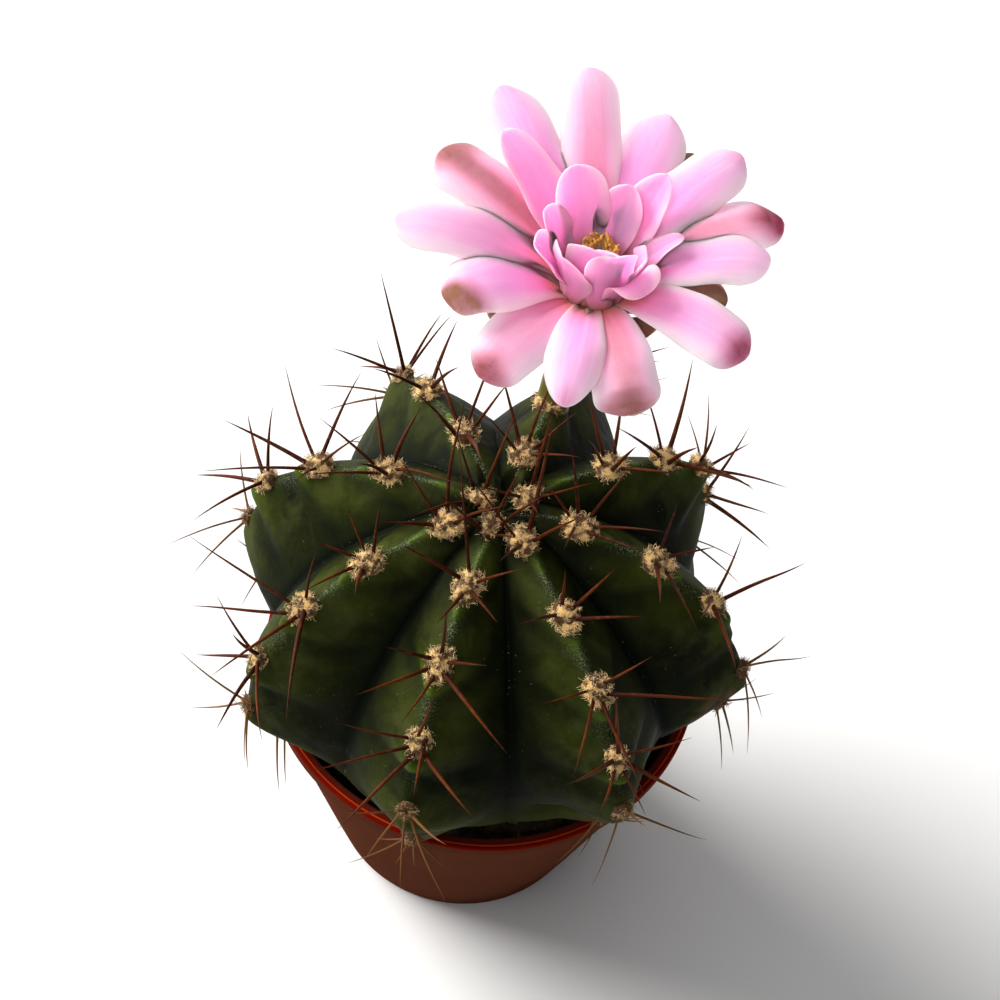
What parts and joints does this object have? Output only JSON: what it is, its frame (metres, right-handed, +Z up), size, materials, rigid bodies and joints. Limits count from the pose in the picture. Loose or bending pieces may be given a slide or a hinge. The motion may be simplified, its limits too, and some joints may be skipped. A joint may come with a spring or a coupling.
{
  "type": "potted round cactus",
  "caption": "Round ribbed cactus with woolly areoles, curved spines and one open pink flower on a scaly tube, growing in a small tapered plastic pot.",
  "frame": {"origin": "centre of the pot's flat underside, on the surface that it stands on", "axes": "+Z up along the pot's axis, the longest side of the whole; -Y is the front, the side that the picture looks at from above; the flower stands at the back, towards +Y"},
  "size_m": [0.1092, 0.1062, 0.1445],
  "materials": {
    "pot_plastic": "satin moulded polypropylene",
    "potting_soil": "loose dark peat and bark crumbs, matte",
    "cactus_skin": "waxy skin with woolly areoles and red-brown spines",
    "flower_scales": "fleshy green-yellow scales with brown sepals",
    "petal": "soft satin petal, pink with pale edges",
    "pollen": "powdery",
    "stigma": "soft and matt"
  },
  "bodies": {
    "root": {"pot": "pot_plastic", "soil": "potting_soil", "cactus_stem": "cactus_skin", "flower_tube": "flower_scales", "flower_petals": "petal", "flower_stamens": "pollen", "flower_style": "stigma"}
  },
  "joints": []
}
